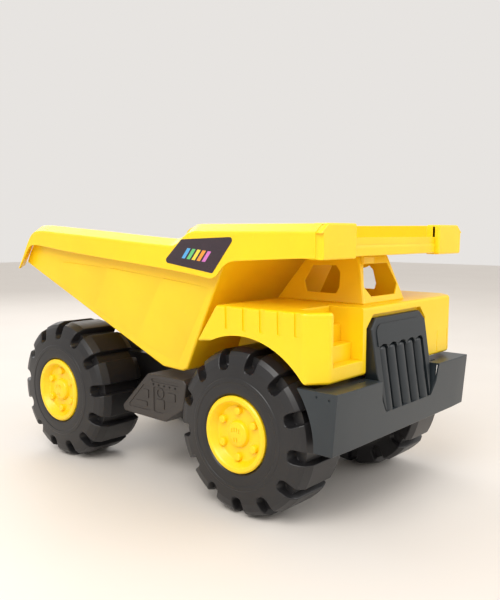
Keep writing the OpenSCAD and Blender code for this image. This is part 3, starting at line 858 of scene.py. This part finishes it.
def on_slope(obj):
    """Moves an object drawn upright at the front axle on to the grille's sloping face."""
    tilt = Matrix.Rotation(math.radians(-LEAN), 4, "X")
    obj.data.transform(
        Matrix.Translation(place(0, GRILLE_Y, GRILLE_FOOT)) @ tilt
        @ Matrix.Translation(-place(0, 0, 0)))
    return obj


def grille_face():
    return rounded(
        [(-52.5, 234.5), (52.5, 234.5), (65, 223), (64.5, 172), (57, 137), (54, GRILLE_FOOT),
         (-54, GRILLE_FOOT), (-57, 137), (-64.5, 172), (-65, 223)],
        [2.5, 2.5, 2.5, 12, 4, 0, 0, 4, 12, 2.5])


def bar_middles():
    return [(k - (BAR_COUNT - 1) / 2) * BAR_PITCH for k in range(BAR_COUNT)]


def arch(middle_x, foot, half_w, height, steps=14):
    """Points of a flat arch from its right end over to its left end."""
    turns = [math.pi * k / steps for k in range(steps + 1)]
    return [(middle_x + half_w * math.cos(a), foot + height * math.sin(a)) for a in turns]


def bar_pocket():
    """The opening the bars stand in: straight sides, and an arch over each bar."""
    side, spring = POCKET_X + 1.8, BAR_TOP - BAR_ARCH
    outline = [(-side, -10), (side, -10), (side, spring)]
    for middle_x in reversed(bar_middles()):
        outline += arch(middle_x, spring, BAR_HALF_W + 1.3, BAR_ARCH + 1.0)
    return outline + [(-side, spring)]


def grille_bar():
    """One upright bar with a flat oval section, domed at its top."""
    bm = bmesh.new()
    rings = []
    turns = [2 * math.pi * k / BAR_SIDES for k in range(BAR_SIDES)]
    section = [(BAR_HALF_W * math.cos(a), BAR_DEPTH * (1 + math.sin(a))) for a in turns]
    levels = [(0, 1.0), (BAR_TOP - BAR_ARCH, 1.0)]
    levels += [(BAR_TOP - BAR_ARCH * (1 - math.sin(a)), max(math.cos(a), 0.05))
               for a in [math.pi / 2 * k / 6 for k in range(1, 7)]]
    for height, share in levels:
        rings.append([
            bm.verts.new(place(x * share, BAR_DEPTH * (1 - share) + y * share, height))
            for x, y in section
        ])
    for ring, beyond in zip(rings, rings[1:]):
        for k in range(BAR_SIDES):
            j = (k + 1) % BAR_SIDES
            bm.faces.new((ring[k], ring[j], beyond[j], beyond[k]))
    bm.faces.new(rings[0])
    bm.faces.new(rings[-1])
    bmesh.ops.recalc_face_normals(bm, faces=bm.faces)
    bar = to_object(bm)
    bar.data.transform(Matrix.Translation((bar_middles()[0] * MM, 0, 0)))
    return bar


def grille():
    back = PANEL_Y + 6
    top = GRILLE_FOOT + GRILLE_RISE
    slope = [(GRILLE_Y, GRILLE_FOOT), (GRILLE_Y + GRILLE_RISE * SLOPE, top), (back, top),
             (back, GRILLE_FOOT)]
    body = cross(prism("y", grille_face(), -145, back), prism("x", slope, -80, 80))
    ease(body, 1.5, 3, sharpest=50)
    cut(body, on_slope(prism("y", bar_pocket(), -5, 2 * BAR_DEPTH + 0.5)))
    bars = repeated(grille_bar(), CHARCOAL, BAR_COUNT, step=(BAR_PITCH * MM, 0, 0))
    panel = [(-PANEL_X, BAR_TOP - 1), (PANEL_X, BAR_TOP - 1), (PANEL_X, 100.5), (-PANEL_X, 100.5)]
    plate = prism("y", rounded(panel, [1, 1, 12, 12], steps=8), -1.3, 3)
    cut(plate, prism("y", bar_pocket(), -5, 9))
    ease(plate, 0.6, 2, sharpest=50)
    piece("radiator_grille", [body, on_slope(bars), on_slope(plate)], "chassis", CHARCOAL,
          ["grille"])


BUMPER_SWEEP = 1.5
BUMPER_RAKE = 5.5
BUMPER_BACK = -101
CREASE_X = 124


def bumper_plan(inset, back):
    side = BUMPER_X - inset
    front = NOSE_Y + inset
    return [(-side, front + BUMPER_SWEEP), (-CREASE_X, front), (CREASE_X, front),
            (side, front + BUMPER_SWEEP), (side, back), (-side, back)]


def raked(obj):
    """Leans the bumper's front back towards its foot."""
    share = BUMPER_RAKE / (BUMPER_TOP - BUMPER_FOOT)
    lean = Matrix.Identity(4)
    lean[1][2] = -share
    lean[1][3] = share * BUMPER_TOP * MM
    obj.data.transform(lean)
    return obj


def bumper():
    outer = ease(raked(prism("z", bumper_plan(0, -80), BUMPER_FOOT, BUMPER_TOP)), 1.3, 3, sharpest=40)
    half = [(56, GRILLE_FOOT), (67, 144), (70.5, BUMPER_TOP), (75, BUMPER_TOP + 6)]
    notch = [(-x, z) for x, z in reversed(half)] + half
    cut(
        outer, raked(prism("z", bumper_plan(WALL, -40), BUMPER_FOOT - 1, BUMPER_TOP - WALL)),
        block(-150, 150, BUMPER_BACK, -40, 90, 180),
        prism("y", rounded(notch, [0, 3, 14, 5, 5, 14, 3, 0]), NOSE_Y - 5, -105),
        *[prism("x", disc_outline(107, 0, AXLE_Z, 96), *sorted((side * 84, side * 170)))
          for side in (-1, 1)],
    )
    # Sink marks and slots that the moulding tool leaves on the shelf and on the cheeks
    for side in (-1, 1):
        slot = sorted((side * 80, side * 92))
        cut(outer, block(*slot, -122, -118.6, BUMPER_TOP - 0.9, BUMPER_TOP + 3))
        mark = sorted((side * (BUMPER_X - 1), side * (BUMPER_X + 3)))
        for y, z in ((NOSE_Y + 11, 159), (NOSE_Y + 27, 160.5)):
            cut(outer, prism("x", disc_outline(1.5, y, z, 20), *mark))
    parts = [outer, ease(block(-60, 60, -133, -105, 125, 128), 0.6, 2)]
    # Cheeks that close the notch's two sides, from the front wall back to the shelf's end
    half = [(57, 126), (69.5, 144), (73, BUMPER_TOP - 1), (70.8, BUMPER_TOP - 1), (67.3, 144),
            (59, 128.5)]
    for side in (-1, 1):
        cheek = [(side * x, z) for x, z in half]
        parts.append(prism("y", cheek, NOSE_Y + 4.6, BUMPER_BACK - 1))
    ahead = Matrix.Rotation(math.radians(-90), 4, "Z")
    for x in (-45, 45):
        post = lathe([(0, 0), (6, 0), (6, 32), (0, 32)], 32)
        post.data.transform(Matrix.Translation(place(x, -100, 112)) @ ahead)
        parts.append(post)
    piece("front_bumper", parts, "chassis", SLATE, ["bumper"])


# ---------- side tanks ----------
def side_tank(name, side):
    span = sorted((side * 62, side * TANK_X))
    outline = rounded([(106, 138), (112, 105), (146, 83), (230, 85), (233, 93), (180, 144), (112, 144)],
                      [5, 6, 8, 4, 4, 8, 4])
    tank = ease(prism("x", outline, *span), 2.2, 3, sharpest=45)
    hollow = [(109, 138), (115, 107), (147, 86), (228, 88), (229.5, 92.5), (178.5, 141), (114, 141)]
    cut(tank, prism("x", hollow, *sorted((side * 61, side * (TANK_X - WALL)))))
    face = sorted((side * (TANK_X - 1.2), side * (TANK_X + 2)))
    panels = [
        [(118, 128), (122, 110), (150, 94), (168, 94), (168, 128)],
        [(174, 128), (174, 94), (222, 94), (188, 128)],
        [(120, 134), (172, 134), (172, 138.5), (120, 138.5)],
    ]
    for outline in panels:
        cut(tank, prism("x", rounded(outline, 2.5), *face))
    parts = [ease(tank, 0.4, 2, sharpest=55, flatten=False)]
    raised = sorted((side * (TANK_X - 2), side * (TANK_X - 0.1)))
    lumps = ((127, 143, 112, 123), (148, 163, 99, 112), (179, 190, 110, 122), (182, 206, 98, 105))
    for y0, y1, z0, z1 in lumps:
        lump = rounded([(y0, z0), (y1, z0), (y1, z1), (y0, z1)], 1.5)
        parts.append(ease(prism("x", lump, *raised), 0.5, 2))
    ring = lathe(rounded([(5.2, 0), (7.4, 0), (7.4, 2.2), (5.2, 2.2)], 0.5), 40)
    ring.data.transform(Matrix.Translation(place(side * (TANK_X - 1.1) - 1.1, 156, 120)))
    stud = lathe(rounded([(0, 0), (1.9, 0), (1.9, 2.2), (0, 2.2)], [0, 0.5, 0.5, 0], closed=False), 20)
    stud.data.transform(Matrix.Translation(place(side * (TANK_X - 1.1) - 1.1, 126, 131)))
    parts += [ring, repeated(stud, UMBER, 5, step=(0, 10.5 * MM, 0))]
    piece("tank_cover_" + name, parts, "chassis", UMBER, ["side_tank_" + name])


# ---------- tipping bed ----------
RIM_IN = 153.5
BLOCK_X = 98.5
BEAM_Z = 326.0
EAR_R = 12


def side_x(z):
    """Half the width of the hopper's outside at a height."""
    return 140 + 15 * min(1.0, (z - 150) / 147)


def bed_section(inset):
    return [(-140 + inset, 150), (-155 + inset, 297), (-155 + inset, 350), (155 - inset, 350),
            (155 - inset, 297), (140 - inset, 150)]


def hopper():
    outside = [(-112, 306), (19.7, 306), (103, 160), (112, 156), (148, 157.5), (440, 284.5),
               (403, 334), (380, 340.5), (95, 322.7), (71, 340.7), (-112, 340.7)]
    inside = [(-109, 309), (22, 309), (106.2, 161.8), (113, 159.2), (147.5, 160.8), (470, 301),
              (470, 360), (-109, 360)]
    outer = cross(
        prism("x", rounded(outside, [0, 10, 4.6, 4.6, 8, 0, 0, 0, 8, 6, 0]), -160, 160),
        prism("y", bed_section(0), -120, 460))
    ease(outer, 3.2, 4, sharpest=35)
    inner = cross(
        prism("x", rounded(inside, [0, 12, 3.2, 3.2, 8, 0, 0, 0]), -160, 160),
        prism("y", bed_section(WALL), -121, 480))
    ease(inner, 2.2, 3, sharpest=35)
    cut(outer, inner, block(-BLOCK_X, BLOCK_X, -120, -108, BEAM_Z, BEAM_Z + 30))
    return outer


# Rear edge of each side panel, top and bottom, from the tail forwards
PANEL_LINES = [
    ((345, 288), (359, 257)), ((239, 283), (279, 226)), ((133, 274), (194, 190)),
    ((52, 266), (118, 166)),
]


def side_panel(side, rear, front, proud=1.5, flush=0.15):
    """A clapboard panel on the hopper's side: proud at its rear edge and flush in front."""
    (top_rear, foot_rear), (top_front, foot_front) = rear, front
    outline = rounded([top_rear, foot_rear, foot_front, top_front], [7, 1.5, 1.5, 3], steps=5)
    lean = (foot_rear[0] - top_rear[0]) / (top_rear[1] - foot_rear[1])
    span = top_rear[0] - top_front[0]
    bm = bmesh.new()
    layers = []
    for outer in (False, True):
        line = []
        for y, z in outline:
            behind = (top_rear[0] - y - lean * (z - top_rear[1])) / span
            depth = proud + (flush - proud) * min(1.0, max(0.0, behind)) if outer else -1.2
            line.append(bm.verts.new(place(side * (side_x(z) + depth), y, z)))
        layers.append(line)
    count = len(outline)
    for line in layers:
        bm.faces.new(line)
    for i in range(count):
        j = (i + 1) % count
        bm.faces.new((layers[0][i], layers[0][j], layers[1][j], layers[1][i]))
    bmesh.ops.recalc_face_normals(bm, faces=bm.faces)
    return ease(to_object(bm), 0.6, 2, sharpest=50)


# Rim stations from the front to the tail: top edge and foot of the band, each as (y, z)
RIM_STATIONS = [
    ((-112.5, RIM_Z), (-112.5, 305)), ((-94, RIM_Z), (-94, 305)), ((7, RIM_Z), (7, 299)),
    ((16, RIM_Z), (16, 293.6)), ((30, RIM_Z), (30, 277)), ((51, RIM_Z), (51, 280)),
    ((71, RIM_Z), (71, 282.5)), ((95, 324), (95, 285)), ((139, 326.3), (139, 289)),
    ((238, 333), (238, 297)), ((330, 338.8), (330, 305)), ((376, 341.6), (380, 310.8)),
    ((398, 340), (404, 311.5)), ((410, 328), (412, 307)), ((LIP_Y, 282), (438.5, 275.4)),
]


def rim_line(spacing=3.2, soften=3):
    """The stations filled in at even steps, with their kinks rounded by a running mean."""
    filled = []
    for (t0, f0), (t1, f1) in zip(RIM_STATIONS, RIM_STATIONS[1:]):
        length = max(math.dist(t0, t1), math.dist(f0, f1))
        count = max(1, round(length / spacing))
        for k in range(count):
            share = k / count
            filled.append([a + (b - a) * share for a, b in zip((*t0, *f0), (*t1, *f1))])
    filled.append([*RIM_STATIONS[-1][0], *RIM_STATIONS[-1][1]])
    last = len(filled) - 1
    smooth = []
    for i in range(last + 1):
        reach_out = min(soften, i, last - i)
        near = filled[i - reach_out:i + reach_out + 1]
        smooth.append([sum(column) / len(near) for column in zip(*near)])
    return smooth


def rim_section(depth):
    """[x, distance under the top edge] points of the rim: a bevelled flange with a hanging skirt."""
    return rounded(
        [(RIM_X, depth), (RIM_X, 10), (RIM_IN, 0), (RIM_IN, WALL + 2), (RIM_X - WALL, WALL + 9.5),
         (RIM_X - WALL, depth)], [0.9, 3.5, 1.6, 0.8, 1.5, 0.9], steps=3)


def rim(side):
    bm = bmesh.new()
    rings = []
    for ty, tz, fy, fz in rim_line():
        depth = math.dist((ty, tz), (fy, fz))
        ring = []
        for x, down in rim_section(depth):
            share = down / depth
            ring.append(bm.verts.new(place(side * x, ty + (fy - ty) * share, tz + (fz - tz) * share)))
        rings.append(ring)
    count = len(rings[0])
    for ring, beyond in zip(rings, rings[1:]):
        for i in range(count):
            j = (i + 1) % count
            bm.faces.new((ring[i], ring[j], beyond[j], beyond[i]))
    bm.faces.new(rings[0])
    bm.faces.new(rings[-1])
    bmesh.ops.recalc_face_normals(bm, faces=bm.faces)
    return [to_object(bm)]


def corner_block(side):
    """A box corner of the canopy, set off from the rim by a hollow along its outer edge."""
    def on_side(points):
        return [(side * x, z) for x, z in points]

    top, edge, foot = RIM_Z - 0.4, RIM_X - 0.6, 303.5
    outline = on_side([(BLOCK_X, foot), (BLOCK_X, top), (RIM_IN, top), (edge, top - 10),
                       (edge, 305), (160, foot)])
    body = ease(prism("y", outline, CANOPY_Y, -99), 2.4, 4, sharpest=25)
    pocket = on_side([(BLOCK_X + 3, 300), (BLOCK_X + 3, RIM_Z - WALL), (156, RIM_Z - WALL),
                      (156, 300)])
    cut(body, prism("y", pocket, CANOPY_Y + 3, -97))
    hollow = disc_outline(7.5, side * (RIM_X + 1.0), CANOPY_Y - 1.0, 48)
    cut(body, prism("z", hollow, 300, RIM_Z - 11))
    return [ease(body, 0.5, 2, sharpest=60, shortest=3)]


def front_beam():
    outline = [(-113, 305.4), (-113, 315.5), (-108.5, BEAM_Z), (-104.5, BEAM_Z), (-104.5, 305.4)]
    return ease(prism("x", outline, -BLOCK_X - 1, BLOCK_X + 1), 1.6, 3, sharpest=20)


def bed_ear(side):
    outline = [(PIN_Y - 34, 224.5), (PIN_Y + 30, 252), (PIN_Y + EAR_R, PIN_Z),
               (PIN_Y - EAR_R, PIN_Z)]
    span = sorted((side * 47, side * 53))
    ear = prism("x", outline, *span)
    fuse(ear, prism("x", disc_outline(EAR_R, PIN_Y, PIN_Z, 48), *span))
    cut(ear, prism("x", disc_outline(5.2, PIN_Y, PIN_Z, 32), *sorted((side * 40, side * 60))))
    return [ease(ear, 0.8, 2, sharpest=50, shortest=1.0)]


def dump_bed():
    parts = [hopper(), front_beam()]
    parts += both(rim) + both(corner_block) + both(bed_ear)
    for rear, front in zip(PANEL_LINES, PANEL_LINES[1:]):
        parts += both(lambda side: [side_panel(side, rear, front)])
    piece("tipping_bed", parts, "bed", YELLOW, ["dump_bed"])


def bed_decals():
    outline = rounded([(114.2, 295.3), (82.2, 323), (-3.2, 326.6), (31.8, 284.6)], 3.5, steps=6)
    for name, side in (("right", -1), ("left", 1)):
        film = prism("x", outline, *sorted((side * (RIM_X - 0.3), side * (RIM_X + 0.35))))
        ease(film, 0.12, 2)
        piece("sticker_" + name, [film], "bed", FILM, ["bed_decal_" + name])


# ---------- pieces kept from the frame ----------
def paint_frame_pieces():
    finishes = {
        "chassis_frame": BLACK, "hinge_pin_caps": BLACK, "front_axle": STEEL, "rear_axle": STEEL,
        "bed_hinge_pin": STEEL, "cab_screws": STEEL, "bumper_screws": STEEL, "tank_screws": STEEL,
        "grille_screws": STEEL, "axle_spacers": STEEL,
    }
    for corner in ("front_right", "front_left", "rear_right", "rear_left"):
        finishes["wheel_bush_" + corner] = SLATE
        finishes["axle_nut_" + corner] = STEEL
    for node, finish in finishes.items():
        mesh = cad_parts[node].data
        mesh.materials.clear()
        mesh.materials.append(finish)


# ---------- studio ----------
def floor():
    size = 6.0
    bm = bmesh.new()
    corners = [(-size, -size), (size, -size), (size, size), (-size, size)]
    bm.faces.new([bm.verts.new((x, y, 0)) for x, y in corners])
    plane = to_object(bm, "floor")
    material, tree, shader = new_material("pale_floor")
    where = tree.nodes.new("ShaderNodeTexCoord").outputs["Object"]
    cloud = noise_node(tree, where, 3.0, 3.0)
    tone = mixed(tree, cloud, (0.74, 0.69, 0.64), (0.80, 0.76, 0.71))
    tree.links.new(tone, shader.inputs["Base Color"])
    roughened(tree, shader, 0.5, 0.62, cloud)
    plane.data.materials.append(material)


def area_light(name, position, target, size, watts, colour=(1, 1, 1)):
    light = bpy.data.lights.new(name, "AREA")
    light.shape = "RECTANGLE"
    light.size, light.size_y = size
    light.energy = watts
    light.color = colour
    obj = bpy.data.objects.new(name, light)
    obj.location = position
    obj.rotation_euler = (Vector(target) - Vector(position)).to_track_quat("-Z", "Y").to_euler()
    bpy.context.scene.collection.objects.link(obj)


def studio():
    floor()
    bpy.context.scene.view_settings.view_transform = "Standard"
    world = bpy.data.worlds.new("studio")
    bpy.context.scene.world = world
    world.use_nodes = True
    sky = world.node_tree.nodes["Background"]
    sky.inputs["Color"].default_value = (1.0, 0.97, 0.94, 1)
    sky.inputs["Strength"].default_value = 0.8
    aim = (0, 0, 0.15)
    area_light("key", (-1.5, -0.6, 1.7), aim, (1.6, 1.2), 34, (1.0, 0.98, 0.95))
    area_light("fill", (0.9, -1.9, 1.2), aim, (1.6, 1.2), 14)
    area_light("back", (0.8, 1.8, 1.6), aim, (1.8, 1.2), 16)


def camera():
    """The camera stands off the truck's right-hand front corner, a little under the rim's height."""
    lens = bpy.data.cameras.new("camera")
    lens.sensor_width = 36
    lens.lens = 41.85
    lens.shift_x = -0.0219
    lens.shift_y = 0.0211
    obj = bpy.data.objects.new("camera", lens)
    yaw, pitch, roll = math.radians(50.12), math.radians(-6.69), math.radians(0.17)
    obj.matrix_world = (
        Matrix.Translation(place(-743.1, -525.15, 333.2)) @ Matrix.Rotation(-yaw, 4, "Z")
        @ Matrix.Rotation(math.radians(90) + pitch, 4, "X") @ Matrix.Rotation(roll, 4, "Z")
    )
    bpy.context.scene.collection.objects.link(obj)
    bpy.context.scene.camera = obj


HALF_PITCH = PITCH / 2
wheel("front_right", -1, 0, HALF_PITCH)
wheel("front_left", 1, 0, HALF_PITCH)
wheel("rear_right", -1, WHEELBASE, 0.0)
wheel("rear_left", 1, WHEELBASE, 0.0)
cab_body()
cab_house()
grille()
bumper()
side_tank("right", -1)
side_tank("left", 1)
dump_bed()
bed_decals()
paint_frame_pieces()
studio()
camera()
